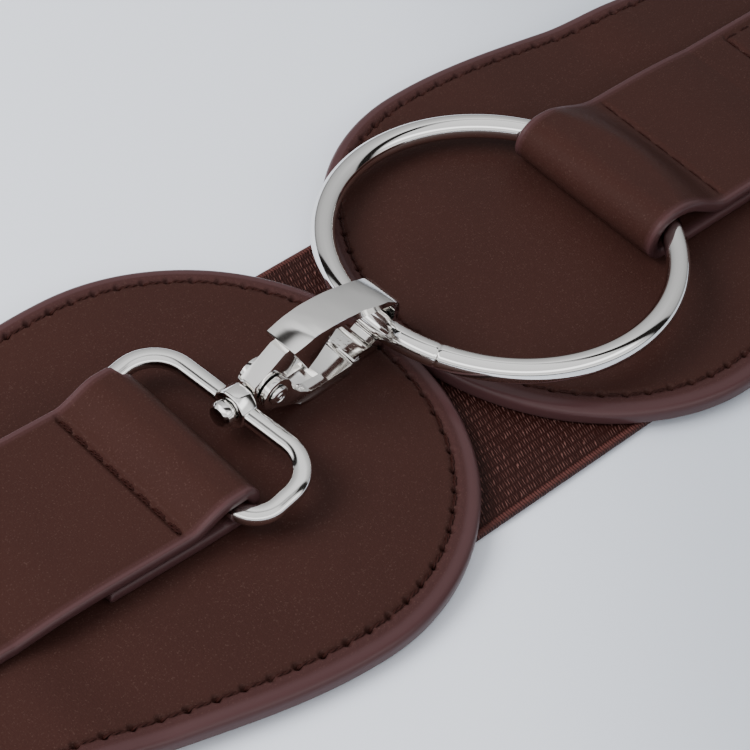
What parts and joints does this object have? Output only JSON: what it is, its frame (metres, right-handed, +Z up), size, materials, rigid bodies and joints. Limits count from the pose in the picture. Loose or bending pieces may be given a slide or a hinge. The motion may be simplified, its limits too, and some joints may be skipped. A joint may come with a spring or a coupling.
{
  "type": "waist belt",
  "caption": "Wide waist belt, closed and lying flat: an elastic back, round-ended stitched front panels with folded straps, and a swivel snap hook clipped to a ring.",
  "frame": {"origin": "on the surface that the belt lies on, under the middle of its bounding box", "axes": "+X along the belt from the snap hook's side to the ring's side, +Y across the belt's width, +Z up from the surface"},
  "size_m": [0.3466, 0.084, 0.0199],
  "materials": {
    "leather": "smooth dark brown leather with a soft sheen and a fine grain",
    "webbing": "matt reddish dark brown elastic with fine crosswise ribs",
    "nickel": "bright polished nickel plating"
  },
  "bodies": {
    "belt": {"elastic_band": "webbing", "left_panel": "leather", "right_panel": "leather", "left_strap": "leather", "right_strap": "leather", "ring": "nickel", "bail": "nickel", "hook_body": "nickel", "gate_rivet": "nickel"},
    "gate": {"gate": "nickel"}
  },
  "joints": [
    {"name": "gate_hinge", "type": "hinge", "parent": "belt", "child": "gate", "pos_m": [-0.02785, 0.00188, 0.0107], "axis": [0.0349, -0.9994, 0], "range_deg": [0, 14], "stiffness_Nm_per_rad": 0.02, "springref_deg": -11.46}
  ]
}
